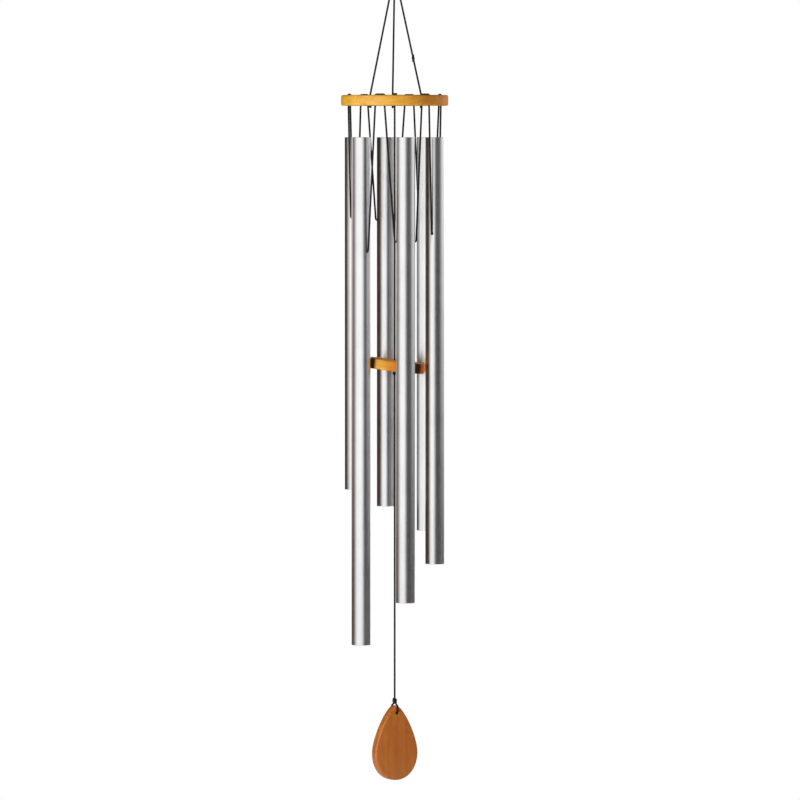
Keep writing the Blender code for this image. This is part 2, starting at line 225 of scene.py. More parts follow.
def aluminium_material():
    """Satin anodised drawn tube: fine lines along its length and faint handling marks."""
    shader = Shader("aluminium_satin", Metallic=1.0, Roughness=0.3)
    lines = shader.noise(shader.placed((900, 900, 6)), 1.0, 4.0, 0.6)
    marks = shader.noise(shader.placed(), 22.0, 3.0)
    colour = shader.mix(lines, (0.66, 0.66, 0.67, 1), (0.76, 0.76, 0.765, 1))
    cloud = shader.ramp(marks, (0.35, (0.93,) * 3), (0.65, (1.0,) * 3))
    shader.set("Base Color", shader.mix(1.0, colour, cloud, "MULTIPLY"))
    grain = shader.span(lines, 0.24, 0.32)
    shader.set("Roughness", shader.math("ADD", grain, shader.span(marks, -0.02, 0.03)))
    shader.bump(lines, 0.08, 0.05 * MM)
    return shader.material


def cut_end_material():
    """The bare, deburred metal of a tube's sawn ends and drilled holes."""
    shader = Shader("aluminium_cut", Metallic=1.0, Roughness=0.22)
    rings = shader.noise(shader.placed((60, 60, 4000)), 1.0, 2.0)
    shader.set("Base Color", shader.mix(rings, (0.62, 0.62, 0.63, 1), (0.88, 0.88, 0.89, 1)))
    shader.bump(rings, 0.2, 0.05 * MM)
    return shader.material


def steel_material():
    shader = Shader("steel_ring", Metallic=1.0, Roughness=0.2)
    wear = shader.noise(shader.placed(), 300.0, 4.0)
    shader.set("Base Color", shader.mix(wear, (0.42, 0.42, 0.43, 1), (0.62, 0.62, 0.63, 1)))
    shader.set("Roughness", shader.span(wear, 0.14, 0.34))
    shader.bump(wear, 0.1, 0.05 * MM)
    return shader.material


def cord_material():
    """Round braided polyester: strands crossing both ways, with fuzz on them."""
    shader = Shader("cord_braid", Roughness=0.85)
    shader.set("Specular IOR Level", 0.08)
    uv = shader.add("UVMap").outputs[0]
    parts = shader.add("SeparateXYZ", {0: uv})
    around = shader.math("MULTIPLY", parts.outputs[0], 2 * math.pi * BRAID_STRANDS)
    along = shader.math("MULTIPLY", parts.outputs[1], 2 * math.pi / BRAID_PITCH)
    one = shader.math("ABSOLUTE", shader.math("SINE", shader.math("ADD", around, along)))
    two = shader.math("ABSOLUTE", shader.math("SINE", shader.math("SUBTRACT", around, along)))
    weave = shader.math("MAXIMUM", one, two)
    fuzz = shader.noise(shader.placed(), 2500.0, 3.0, 0.7)
    height = shader.math("ADD", weave, shader.math("MULTIPLY", fuzz, 0.35))
    # The colour is darker down the grooves between the strands and lighter on their crests,
    # painted shade, with the fuzz's uneven tone in it.
    tone = shader.ramp(height, (0.3, (0.003, 0.003, 0.003)), (1.0, (0.024, 0.024, 0.022)))
    shader.set("Base Color", tone)
    shader.bump(height, 0.5, 0.12 * MM)
    return shader.material


def rim_stain_and_painted_light(shader, base, stain_and_painted_light):
    """The wood's colour times a tint across X on its rim, not its faces: stain with painted light
    and shade.
    """
    across = shader.add("SeparateXYZ", {0: shader.placed()}).outputs[0]
    reach = {"Value": across, "From Min": -STAIN_AND_LIGHT_REACH, "From Max": STAIN_AND_LIGHT_REACH}
    tint = shader.ramp(shader.add("MapRange", reach).outputs[0], *stain_and_painted_light)
    normal = shader.add("TexCoord").outputs["Normal"]
    facing = shader.math("ABSOLUTE", shader.add("SeparateXYZ", {0: normal}).outputs[2], 0.0)
    upright_share = shader.math("SUBTRACT", 1.0, facing)
    rim = shader.add("MapRange", {"Value": upright_share, "From Min": 0.02, "From Max": 0.3})
    return shader.mix(rim.outputs[0], base, tint, "MULTIPLY")


def wood_material(
    name, tones, grain=(0, 0, 0), pith=(0, 0, 0), stain_and_painted_light=None, contrast=0.5, coat=0.0
):
    """Stained wood: growth rings about a pith line, fibres, pores, flecks and a satin seal.

    tones are the light wood, the dark wood and the pores. The grain runs along the X axis once
    turned, pith is where the rings' centre lies, and stain_and_painted_light is the rim's tint
    across X, partly stain and partly painted highlight, shade and shadow."""
    light, dark, line = tones
    shader = Shader(name, Roughness=0.5)
    shader.set("Specular IOR Level", 0.18)
    shader.set("Coat Weight", coat)
    shader.set("Coat Roughness", 0.28)
    rings = shader.add(
        "TexWave",
        {
            "Vector": shader.placed((0.16, 1, 1), grain, pith),
            "Scale": 40.0,
            "Distortion": 5.0,
            "Detail": 3.0,
            "Detail Scale": 0.6,
            "Detail Roughness": 0.5,
        },
        wave_type="RINGS",
        rings_direction="X",
        wave_profile="SAW",
    ).outputs["Fac"]
    fibre = shader.noise(shader.placed((40, 1300, 1300), grain), 1.0, 4.0, 0.65)
    pores = shader.noise(shader.placed((170, 2400, 2400), grain), 1.0, 2.0, 0.5)
    blotch = shader.noise(shader.placed((20, 60, 60), grain), 1.0, 4.0, 0.6)
    flecks = shader.noise(shader.placed((150, 420, 420), grain), 1.0, 1.0, 0.4)
    middle = tuple((1 - 0.4 * contrast) * a + 0.4 * contrast * b for a, b in zip(light, dark))
    late = tuple((1 - contrast) * a + contrast * b for a, b in zip(light, dark))
    base = shader.ramp(rings, (0.0, light), (0.55, middle), (0.93, late), (1.0, light))
    streak = shader.ramp(fibre, (0.3, (0.86, 0.81, 0.74)), (0.7, (1.0, 1.0, 1.0)))
    base = shader.mix(0.8, base, streak, "MULTIPLY")
    patch = shader.ramp(blotch, (0.34, (0.86, 0.76, 0.6)), (0.66, (1.0, 1.02, 1.1)))
    base = shader.mix(1.0, base, patch, "MULTIPLY")
    # Over the rim, a tint of stain with painted highlight, shade and tube shadows.
    if stain_and_painted_light:
        base = rim_stain_and_painted_light(shader, base, stain_and_painted_light)
    dots = shader.ramp(pores, (0.27, line), (0.34, (1.0, 1.0, 1.0)))
    base = shader.mix(0.7, base, dots, "MULTIPLY")
    marks = shader.ramp(flecks, (0.2, line), (0.24, (1.0, 1.0, 1.0)))
    shader.set("Base Color", shader.mix(contrast, base, marks, "MULTIPLY"))
    shader.set("Roughness", shader.span(fibre, 0.42, 0.58))
    height = shader.math("ADD", shader.math("MULTIPLY", fibre, 0.6), rings)
    shader.bump(height, 0.1, 0.1 * MM)
    return shader.material


def floor_material():
    """Pale and matt, with a little emission so that it meets the white around it."""
    shader = Shader("floor_pale", Roughness=0.9)
    speck = shader.noise(shader.placed(), 4.0, 2.0)
    shader.set("Base Color", shader.ramp(speck, (0.3, (0.86,) * 3), (0.7, (0.87,) * 3)))
    shader.set("Emission Color", (1, 1, 1, 1))
    shader.set("Emission Strength", 0.1)
    return shader.material


METAL = aluminium_material()
CUT_METAL = cut_end_material()
STEEL = steel_material()
CORD = cord_material()

# Wood tones: the light wood, the dark wood and the pores
AMBER = (rgb(240, 184, 72), rgb(216, 136, 40), (0.75, 0.6, 0.5))
RED_BROWN = (rgb(202, 120, 46), rgb(184, 103, 42), (0.5, 0.38, 0.3))

# Each rim's tint from left to right, partly stain and partly painted light: (share of the way,
# tint)
# The disc's rim runs lighter and bluer left of the middle, a painted highlight, and darker and
# redder to the right, painted shade.
DISC_STAIN_AND_PAINTED_LIGHT = (
    (0.0, (1.0, 1.04, 0.75)),
    (0.3, (1.0, 1.08, 1.9)),
    (0.5, (1.0, 0.99, 0.9)),
    (0.72, (0.92, 0.8, 0.75)),
    (0.86, (0.9, 0.68, 0.5)),
    (0.97, (1.0, 0.66, 0.25)),
)
# Near black: the painted shadows of tubes 1 and 2 on the clapper's rim.
PAINTED_TUBE_SHADOW = (0.1, 0.05, 0.03)
# The clapper's rim runs lighter left of the middle and redder to the right, painted light and
# shade, with those painted shadows in it.
CLAPPER_STAIN_AND_PAINTED_SHADOW = (
    (0.26, (0.9, 0.8, 0.8)),
    (0.28, PAINTED_TUBE_SHADOW),
    (0.305, PAINTED_TUBE_SHADOW),
    (0.33, (0.95, 0.97, 1.2)),
    (0.42, (0.87, 0.76, 0.9)),
    (0.485, (0.88, 0.63, 0.45)),
    (0.68, (0.9, 0.5, 0.35)),
    (0.7, PAINTED_TUBE_SHADOW),
    (0.735, PAINTED_TUBE_SHADOW),
    (0.75, (1.0, 0.56, 0.4)),
)
DISC_WOOD = wood_material(
    "wood_disc", AMBER, grain=(0, 0, 8), pith=(0, 0.05, 0.26), stain_and_painted_light=DISC_STAIN_AND_PAINTED_LIGHT, contrast=0.3
)
CLAPPER_WOOD = wood_material(
    "wood_clapper", AMBER, (0, 0, -30), (0, 0.01, 0.7), stain_and_painted_light=CLAPPER_STAIN_AND_PAINTED_SHADOW, contrast=0.35
)
SAIL_WOOD = wood_material("wood_sail", RED_BROWN, (0, 90, 0), (0, 0.05, 0.03), coat=0.6)


# --- Shape helpers ---------------------------------------------------------------------------


def polar(radius, degrees, z=0.0):
    angle = math.radians(degrees)
    return Vector((radius * math.cos(angle), radius * math.sin(angle), z))


def arc(centre, radius, start, end, steps=8):
    """Points (s, z) along an arc between two directions in degrees."""
    angles = [math.radians(start + (end - start) * i / steps) for i in range(steps + 1)]
    return [(centre[0] + radius * math.cos(a), centre[1] + radius * math.sin(a)) for a in angles]


def upright(profile, base, degrees):
    """Points (s, z) set out along the horizontal direction square to a plan angle."""
    side = polar(1.0, degrees + 90)
    return [base + side * s + Vector((0, 0, z)) for s, z in profile]


def show(name, mesh, *materials):
    obj = bpy.data.objects.new(name, mesh)
    bpy.context.scene.collection.objects.link(obj)
    for material in materials:
        obj.data.materials.append(material)
    return obj


def smooth_with_creases(obj):
    obj.data.shade_smooth()
    obj.data.set_sharp_from_angle(angle=CREASE)


def settle(obj, body, slot, *nodes):
    """The piece rides on a body and stands for its CAD nodes, which it hides; slot is not used.
    """
    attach(obj, body)
    if nodes:
        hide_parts(*nodes)
    return obj


def evenly(points, step):
    """The path again as an array, with points a step apart along it."""
    line = np.array([tuple(p) for p in points], float)
    runs = np.linalg.norm(np.diff(line, axis=0), axis=1)
    along = np.concatenate([[0.0], np.cumsum(runs)])
    count = max(2, int(round(along[-1] / step)) + 1)
    at = np.linspace(0, along[-1], count)
    return np.stack([np.interp(at, along, line[:, k]) for k in range(3)], axis=1), at


def rounded(points, step=2.0 * MM, passes=3):
    """The path with its corners eased by averaging neighbours."""
    line, _ = evenly(points, step)
    for _ in range(passes):
        line[1:-1] = 0.25 * line[:-2] + 0.5 * line[1:-1] + 0.25 * line[2:]
    return line


def frames_along(line):
    """Two normals at each point of a line, carried along it without twisting."""
    tangents = np.gradient(line, axis=0)
    tangents /= np.linalg.norm(tangents, axis=1)[:, None]
    start = np.array((1.0, 0, 0)) if abs(tangents[0][0]) < 0.8 else np.array((0, 1.0, 0))
    normal = np.cross(tangents[0], start)
    normals = []
    for tangent in tangents:
        normal = normal - tangent * (normal @ tangent)
        normal /= np.linalg.norm(normal)
        normals.append(normal)
    normals = np.array(normals)
    return normals, np.cross(tangents, normals)


def cord_mesh(name, points, radius=CORD_RADIUS, step=CORD_STEP):
    """A braided cord swept along a path: diagonal relief, domed ends, and a UV map along it."""
    sides = CORD_SIDES
    line, along = evenly(points, step)
    normals, binormals = frames_along(line)
    angles = np.arange(sides) * 2 * math.pi / sides
    phase = math.pi * along[:, None] / BRAID_PITCH
    turns = BRAID_STRANDS / 2 * angles[None]
    braid = np.maximum(np.abs(np.cos(turns + phase)), np.abs(np.cos(turns - phase)))
    radii = radius * (CORD_FUZZ - BRAID_RELIEF * (1 - braid))
    from_end = np.minimum(along, along[-1] - along)
    dome = np.clip(from_end / (0.6 * radius), 0, 1)
    radii = radii * np.sqrt(np.clip(1 - (1 - dome) ** 2, 0.16, 1))[:, None]
    ring = (
        normals[:, None] * np.cos(angles)[None, :, None]
        + binormals[:, None] * np.sin(angles)[None, :, None]
    )
    verts = (line[:, None] + ring * radii[:, :, None]).reshape(-1, 3)
    rows = len(line)
    faces = []
    for i in range(rows - 1):
        for j in range(sides):
            k = (j + 1) % sides
            faces.append((i * sides + j, i * sides + k, (i + 1) * sides + k, (i + 1) * sides + j))
    faces.append(tuple(range(sides))[::-1])
    faces.append(tuple((rows - 1) * sides + j for j in range(sides)))
    mesh = bpy.data.meshes.new(name)
    mesh.from_pydata([tuple(v) for v in verts], [], faces)
    uv = mesh.uv_layers.new(name="UVMap")
    for face in mesh.polygons[: (rows - 1) * sides]:
        i, j = divmod(face.index, sides)
        corners = ((j, i), (j + 1, i), (j + 1, i + 1), (j, i + 1))
        for loop, (around, row) in zip(face.loop_indices, corners):
            uv.data[loop].uv = (around / sides, along[row])
    mesh.validate()
    mesh.shade_smooth()
    return mesh


def joined(name, meshes):
    """Several meshes as one."""
    whole = bmesh.new()
    whole.loops.layers.uv.new("UVMap")
    for mesh in meshes:
        whole.from_mesh(mesh)
        bpy.data.meshes.remove(mesh)
    made = bpy.data.meshes.new(name)
    whole.to_mesh(made)
    whole.free()
    made.shade_smooth()
    return made


def lathe(name, profile, sides, closed=False):
    """A profile of (radius, z), its outer side running down, turned about Z.

    An open profile is closed by a flat face at each end."""
    verts, faces = [], []
    count = len(profile)
    for i in range(sides):
        angle = 2 * math.pi * i / sides
        for r, z in profile:
            verts.append((r * math.cos(angle), r * math.sin(angle), z))
    pairs = range(count if closed else count - 1)
    for i in range(sides):
        here, after = i * count, ((i + 1) % sides) * count
        for j in pairs:
            k = (j + 1) % count
            faces.append((here + j, here + k, after + k, after + j))
    if not closed:
        faces.append(tuple(i * count for i in range(sides)))
        faces.append(tuple(i * count + count - 1 for i in range(sides))[::-1])
    mesh = bpy.data.meshes.new(name)
    mesh.from_pydata(verts, [], faces)
    mesh.validate()
    shape = bmesh.new()
    shape.from_mesh(mesh)
    bmesh.ops.recalc_face_normals(shape, faces=shape.faces)
    shape.to_mesh(mesh)
    shape.free()
    return mesh


def drill_mesh(radius, half, flare=HOLE_FLARE):
    """A cutter for a hole whose two mouths, at plus and minus half, are a little flared."""
    reach = half + 4 * flare
    wide = radius + flare + 4 * flare
    profile = [(wide, reach), (radius, half - flare), (radius, flare - half), (wide, -reach)]
    return lathe("drill", profile, 32)


def cut(obj, mesh, matrix):
    """Cuts a mesh, placed by a matrix, out of the object for good."""
    cutter = show("cutter", mesh)
    cutter.matrix_world = matrix
    modifier = obj.modifiers.new("cut", "BOOLEAN")
    modifier.object = cutter
    bpy.context.view_layer.update()
    graph = bpy.context.evaluated_depsgraph_get()
    result = bpy.data.meshes.new_from_object(obj.evaluated_get(graph))
    obj.modifiers.clear()
    obj.data = result
    bpy.data.objects.remove(cutter, do_unlink=True)


def bake_place(obj):
    """Moves the object's place into its mesh."""
    bpy.context.view_layer.update()
    obj.data.transform(obj.matrix_world)
    obj.matrix_world = Matrix.Identity(4)


# --- Cords and knots -------------------------------------------------------------------------


def knot_path(size):
    """The crossing part of an overhand knot, opened at its top, with its ends on the axis."""
    points = []
    samples, gap = 60, math.radians(42)
    for i in range(samples + 1):
        t = gap + (2 * math.pi - 2 * gap) * i / samples
        x = math.sin(t) + 2 * math.sin(2 * t)
        y = math.cos(t) - 2 * math.cos(2 * t)
        z = -math.sin(3 * t)
        points.append(Vector((x * size, z * size * 0.95, -y * size)))
    return points


def tied_knot(name, top, bottom, size, turn):
    """An overhand knot pulled tight about the middle of top to bottom."""
    spin = Matrix.Rotation(math.radians(turn), 3, "Z")
    middle = (top + bottom) / 2
    body = [middle + spin @ p for p in knot_path(size)]
    path = rounded([top] + body + [bottom], 0.5 * MM, 4)
    return joined(name, [cord_mesh(name, path, step=KNOT_STEP)])


def hitch_mesh(name, centre, radius, height, wraps, turn):
    """Cord wound tightly round a cord, each wrap lying against the last."""
    samples = int(28 * wraps)
    points = []
    for i in range(samples + 1):
        share = i / samples
        angle = math.radians(turn) + 2 * math.pi * wraps * share
        swell = radius * (0.82 + 0.18 * math.sin(math.pi * share))
        z = centre.z + height * (0.5 - share)
        points.append((swell * math.cos(angle) + centre.x, swell * math.sin(angle) + centre.y, z))
    return cord_mesh(name, points, step=KNOT_STEP)


# --- Hanging point ---------------------------------------------------------------------------


def make_hanger_ring():
    """A ring of round wire, its ends butted and brazed at one side."""
    verts, faces = [], []
    around, section = 160, 24
    joint_at, joint_width, joint_swell = math.pi / 4, 0.9 * MM, 0.16
    for i in range(around):
        a = 2 * math.pi * i / around
        apart = abs((a - joint_at + math.pi) % (2 * math.pi) - math.pi) * HANGER_RADIUS
        bead = 1 + joint_swell * math.exp(-((apart / joint_width) ** 2))
        for j in range(section):
            b = 2 * math.pi * j / section
            r = HANGER_RADIUS + HANGER_WIRE * bead * math.cos(b)
            y = HANGER_WIRE * bead * math.sin(b)
            verts.append((r * math.cos(a), y, HANGER_Z + r * math.sin(a)))
    for i in range(around):
        for j in range(section):
            k, m = (i + 1) % around, (j + 1) % section
            faces.append((i * section + j, i * section + m, k * section + m, k * section + j))
    mesh = bpy.data.meshes.new("ring")
    mesh.from_pydata(verts, [], faces)
    mesh.shade_smooth()
    settle(show("ring", mesh, STEEL), "hanger", "steel_ring", "hanger_ring")


def make_hanging_knot():
    """Two passes of cord round the ring's wire and the knot that draws the cords together."""
    wire_z = HANGER_Z - HANGER_RADIUS
    reach = HANGER_WIRE + CORD_RADIUS + GAP
    meshes = []
    knot_top = HANGER_KNOT_LOW + 8.5 * MM
    for x in (-1.35 * MM, 1.35 * MM):
        loop = arc((0, wire_z), reach, -60, 240, 40)
        path = [(x * 0.6, 1.0 * MM, knot_top - 2 * MM)]
        path += [(x, s, z) for s, z in loop]
        path += [(x * 0.6, -1.0 * MM, knot_top - 2 * MM)]
        meshes.append(cord_mesh("loop", rounded(path, 0.5 * MM, 2), step=KNOT_STEP))
    centre = Vector((0, 0, HANGER_KNOT_LOW + 4.6 * MM))
    meshes.append(hitch_mesh("wraps", centre, 2.7 * MM, 6.2 * MM, 3.2, 30))
    core = [centre + Vector((0, 0, 4.2 * MM)), centre - Vector((0, 0, 4.4 * MM))]
    meshes.append(cord_mesh("core", core, radius=2.2 * MM))
    knot = show("knot_at_ring", joined("knot_at_ring", meshes), CORD)
    settle(knot, "hanging_knot", "black_cord", "hanging_knot")
    return knot


def suspension_path(degrees):
    top = polar(SUSPENSION_TOP_RADIUS, degrees, SUSPENSION_TOP)
    inside = top + Vector((0, 0, 2.5 * MM)) - polar(0.9 * MM, degrees)
    entry = polar(SUSPENSION_RADIUS, degrees, DISC_TOP + 1.0 * MM)
    hole = polar(SUSPENSION_RADIUS, degrees, DISC_TOP - 2.0 * MM)
    end = polar(SUSPENSION_RADIUS, degrees, DISC_UNDER - 1.5 * MM)
    return [inside, top, entry, hole, end]


def make_suspension_cords(top_knot):
    for index, (side, degrees) in enumerate(SUSPENSIONS):
        node = f"suspension_cord_{side}"
        path = suspension_path(degrees)
        cord = show(f"cord_{side}", cord_mesh(node, path), CORD)
        settle(cord, "top_disc", "black_cord", node)
        top = polar(SUSPENSION_RADIUS, degrees, DISC_UNDER + 0.4 * MM)
        low = polar(SUSPENSION_RADIUS, degrees, DISC_UNDER - 3.4 * MM)
        mesh = tied_knot(f"stop_{side}", top, low, 0.4 * MM, 40 + 70 * index)
        stop = settle(show(f"stopper_knot_{side}", mesh, CORD), "top_disc", "black_cord")
        extra = [stop] + ([make_repair_knot(degrees)] if side == "right" else [])


def make_repair_knot(degrees):
    """A slim binding part of the way up the right-hand cord, with a short tail at each end."""
    top = polar(SUSPENSION_TOP_RADIUS, degrees, SUSPENSION_TOP)
    entry = polar(SUSPENSION_RADIUS, degrees, DISC_TOP + 1.0 * MM)
    share = (SUSPENSION_TOP - DISC_TOP - REPAIR_KNOT_RISE) / (SUSPENSION_TOP - entry.z)
    middle, slope = top.lerp(entry, share), (top - entry).normalized()
    side = slope.cross(Vector((0, 1, 0))).normalized()
    across = slope.cross(side)
    wraps, height, samples = 4, 4.2 * MM, 140
    points = []
    for i in range(samples + 1):
        along, angle = i / samples - 0.5, math.radians(20 + 360 * wraps * i / samples)
        reach = (1.15 + 0.35 * math.cos(math.pi * along)) * MM
        outward = side * math.cos(angle) + across * math.sin(angle)
        points.append(middle + slope * along * height + outward * reach)
    meshes = [cord_mesh("wraps", points, radius=0.8 * MM, step=0.4 * MM)]
    for sign in (-1, 1):
        root = middle + slope * sign * 1.4 * MM - side * 1.3 * sign * MM
        tip = root + slope * sign * 4.4 * MM - side * 1.0 * sign * MM
        meshes.append(cord_mesh("tail", [root, tip], radius=0.55 * MM, step=0.4 * MM))
    return settle(show("tie_knot", joined("repair_knot", meshes), CORD), "top_disc", "black_cord")


# --- Top disc --------------------------------------------------------------------------------


def rounded_disc(name, radius, thickness, sides):
    """A turned disc about the origin with rounded edges."""
    half, edge = thickness / 2, DISC_EDGE
    profile = [(radius * 0.5, half)]
    profile += arc((radius - edge, half - edge), edge, 90, 0, 7)
    profile += arc((radius - edge, edge - half), edge, 0, -90, 7)
    profile += [(radius * 0.5, -half)]
    return lathe(name, profile, sides)


def make_top_disc():
    thickness = DISC_TOP - DISC_UNDER
    middle = (DISC_TOP + DISC_UNDER) / 2
    disc = show("disc", rounded_disc("disc", DISC_RADIUS, thickness, DISC_SIDES), DISC_WOOD)
    disc.location.z = middle
    bake_place(disc)
    spots = [polar(LACING_RADIUS, t[0] + s * LACING_SPREAD) for t in TUBES for s in (-1, 1)]
    spots += [polar(SUSPENSION_RADIUS, a) for _, a in SUSPENSIONS] + [Vector()]
    holes = []
    for spot in spots:
        drill = drill_mesh(HOLE_RADIUS, thickness / 2)
        drill.transform(Matrix.Translation(spot + Vector((0, 0, middle))))
        holes.append(drill)
    cut(disc, joined("disc_drills", holes), Matrix.Identity(4))
    smooth_with_creases(disc)
    settle(disc, "top_disc", "amber_wood", "top_disc")


def make_lacing_bridge(number, degrees):
    """The lacing over the disc's top, pulled so tight that it lies flattened on the wood."""
    middle = LACING_RADIUS * math.cos(math.radians(BRIDGE_SPREAD))
    half = LACING_RADIUS * math.sin(math.radians(BRIDGE_SPREAD))
    crest = DISC_TOP - DISC_UNDER + CORD_RADIUS + 0.05 * MM
    right = [(half, 4 * MM)] + arc((half - BEND, crest - BEND), BEND, 0, 90)
    profile = right + [(-s, z) for s, z in reversed(right)]
    path = upright(profile, polar(middle, degrees, DISC_UNDER), degrees)
    name = f"lacing_bridge_{number}"
    mesh = cord_mesh(name, path)
    for vertex in mesh.vertices:
        if vertex.co.z > DISC_TOP:
            vertex.co.z = DISC_TOP + (vertex.co.z - DISC_TOP) * BRIDGE_FLATNESS
    piece = show(f"bridge_{number}", mesh, CORD)
    settle(piece, "top_disc", "black_cord", name)


# --- Tubes -----------------------------------------------------------------------------------


def tube_cord_path(degrees, length, offset):
    base = polar(LACING_RADIUS * math.cos(math.radians(LACING_SPREAD)), degrees, DISC_UNDER)
    hang = TUBE_TOP - DISC_UNDER - NODE_SHARE * length
    top = LACING_RADIUS * math.sin(math.radians(LACING_SPREAD))
    reach = TUBE_RADIUS + STRAND_STAND_OFF
    bend = arc((reach - BEND, hang + BEND), BEND, 0, -90)
    right = [(top, 1.4 * MM)] + [(s + offset, z) for s, z in bend]
    left = [(-top, 1.4 * MM)] + [(offset - s, z) for s, z in bend]
    return upright(right + left[::-1], base, degrees)


def make_tube_cord(number, degrees, length, offset):
    name = f"tube_cord_{number}"
    path = tube_cord_path(degrees, length, offset)
    piece = show(f"strands_{number}", cord_mesh(name, path), CORD)
    settle(piece, name, "black_cord", name)


def tube_profile(above, below):
    """The tube's wall with deburred ends, as a closed outline of (radius, z)."""
    inner, ease, rows = TUBE_RADIUS - TUBE_WALL, TUBE_EDGE, 24
    levels = [above - ease - (above + below - 2 * ease) * i / rows for i in range(rows + 1)]
    outer = [(TUBE_RADIUS - ease, above)] + [(TUBE_RADIUS, z) for z in levels]
    outer += [(TUBE_RADIUS - ease, -below)]
    inside = [(inner + ease, -below)] + [(inner, z) for z in reversed(levels)]
    return outer + inside + [(inner + ease, above)]


def paint_cut_metal(mesh):
    """Gives the ends and the drilled holes the bare metal, and the walls their true normals."""
    inner = TUBE_RADIUS - TUBE_WALL
    normals = [None] * len(mesh.loops)
    for face in mesh.polygons:
        corners = [mesh.vertices[i].co for i in face.vertices]
        radii = [math.hypot(c.x, c.y) for c in corners]
        wall = max(radii) - min(radii) < 0.05 * MM
        sign = 1 if min(radii) > (inner + TUBE_RADIUS) / 2 else -1
        face.material_index = 0 if wall else 1
        for loop, corner in zip(face.loop_indices, corners):
            if wall:
                normals[loop] = Vector((corner.x * sign, corner.y * sign, 0)).normalized()
            else:
                normals[loop] = face.normal.copy()
    mesh.normals_split_custom_set([tuple(n) for n in normals])


def make_tube(number, degrees, length, offset):
    above, below = NODE_SHARE * length, (1 - NODE_SHARE) * length
    name = f"tube_{number}"
    mesh = lathe(name, tube_profile(above, below), TUBE_SIDES, closed=True)
    tube = show(f"pipe_{number}", mesh, METAL, CUT_METAL)
    drop = WALL_HOLE_RADIUS - CORD_RADIUS - GAP
    drill = lathe("drill", [(WALL_HOLE_RADIUS, 0.02), (WALL_HOLE_RADIUS, -0.02)], 40)
    cut(tube, drill, Matrix.Translation((0, 0, -drop)) @ Matrix.Rotation(math.pi / 2, 4, "X"))
    tube.data.shade_smooth()
    paint_cut_metal(tube.data)
    ring = LACING_RADIUS * math.cos(math.radians(LACING_SPREAD))
    place = polar(ring, degrees, TUBE_TOP - above) + polar(offset, degrees + 90)
    tube.matrix_world = Matrix.Translation(place) @ Matrix.Rotation(math.radians(degrees), 4, "Z")
    settle(tube, name, "aluminium_tube", name)


# --- Clapper ---------------------------------------------------------------------------------


def make_centre_knot():
    """The cord's end, turned once round itself and drawn flat on the disc."""
    centre = Vector((0, 0, DISC_TOP + 1.65 * MM))
    meshes = [hitch_mesh("turn", centre, 2.6 * MM, 0.3 * MM, 1.3, 100)]
    meshes.append(cord_mesh("stub", [(0, 0, DISC_TOP + 2.2 * MM), (0, 0, DISC_UNDER + 9 * MM)]))
    knot = show("knot_on_disc", joined("knot_on_disc", meshes), CORD)
    settle(knot, "centre_knot", "black_cord", "centre_knot")


def make_clapper():
    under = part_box("clapper_cord")[0].z
    path = [(0, 0, DISC_UNDER + 8.5 * MM), (0, 0, under - 0.6 * MM)]
    cord = show("cord_clapper", cord_mesh("clapper_cord", path), CORD)
    settle(cord, "clapper", "black_cord", "clapper_cord")
    mesh = rounded_disc("striker", CLAPPER_RADIUS, CLAPPER_THICKNESS, CLAPPER_SIDES)
    clapper = show("striker", mesh, CLAPPER_WOOD)
    cut(clapper, drill_mesh(CLAPPER_HOLE, CLAPPER_THICKNESS / 2), Matrix.Identity(4))
    smooth_with_creases(clapper)
    tilt = Matrix.Rotation(math.radians(CLAPPER_TILT), 4, "Y")
    clapper.matrix_world = Matrix.Translation((0, 0, CLAPPER_Z)) @ tilt
    settle(clapper, "clapper", "amber_wood", "clapper")


def make_clapper_knot():
    centre = (CLAPPER_KNOT_LOW + CLAPPER_KNOT_HIGH) / 2
    meshes = [hitch_mesh("wraps", centre, 1.8 * MM, 3.4 * MM, 2.2, 200)]
    reach = Vector((0, 0, 3.2 * MM))
    meshes.append(cord_mesh("core", [centre + reach, centre - reach], radius=1.7 * MM))
    knot = show("knot_under_striker", joined("knot_under_striker", meshes), CORD)
    settle(knot, "clapper_knot", "black_cord", "clapper_knot")


# --- Sail ------------------------------------------------------------------------------------


def make_sail_cord():
    start = (CLAPPER_KNOT_LOW + CLAPPER_KNOT_HIGH) / 2
    path = [start, Vector((0, 0, SAIL_KNOT_HIGH - 1.5 * MM))]
    cord = show("cord_sail", cord_mesh("sail_cord", path), CORD)
    settle(cord, "sail_cord", "black_cord", "sail_cord")


def make_sail_loop():
    """The loop through the sail, its two legs meeting in a tight knot right over the tip."""
    face = SAIL_THICKNESS / 2 + 1.7 * MM
    edge = (SAIL_THICKNESS / 2 - SAIL_EDGE, -SAIL_EDGE)
    knot_z = SAIL_KNOT_HIGH - SAIL_KNOT_HALF - SAIL_TIP
    turn = arc((face - BEND, BEND - SAIL_CORD_DEPTH), BEND, 0, -90)
    half = [(0.8 * MM, knot_z), (2.2 * MM, knot_z - 3.0 * MM)]
    half += arc(edge, face - edge[0], 40, 0) + turn
    profile = half + [(-s, z) for s, z in reversed(half)]
    path = upright(profile, Vector((0, 0, SAIL_TIP)), SAIL_TURN)
    meshes = [cord_mesh("legs", rounded(path, 0.6 * MM, 2), step=0.5 * MM)]
    centre = Vector((0, 0, SAIL_TIP + knot_z + 0.3 * MM))
    meshes.append(hitch_mesh("wraps", centre, 2.25 * MM, 6.6 * MM, 3.1, 120))
    reach = Vector((0, 0, 4.6 * MM))
    meshes.append(cord_mesh("core", [centre + reach, centre - reach], radius=1.9 * MM))
    loop = show("loop_on_sail", joined("loop_on_sail", meshes), CORD)
    settle(loop, "sail_loop", "black_cord", "sail_loop")


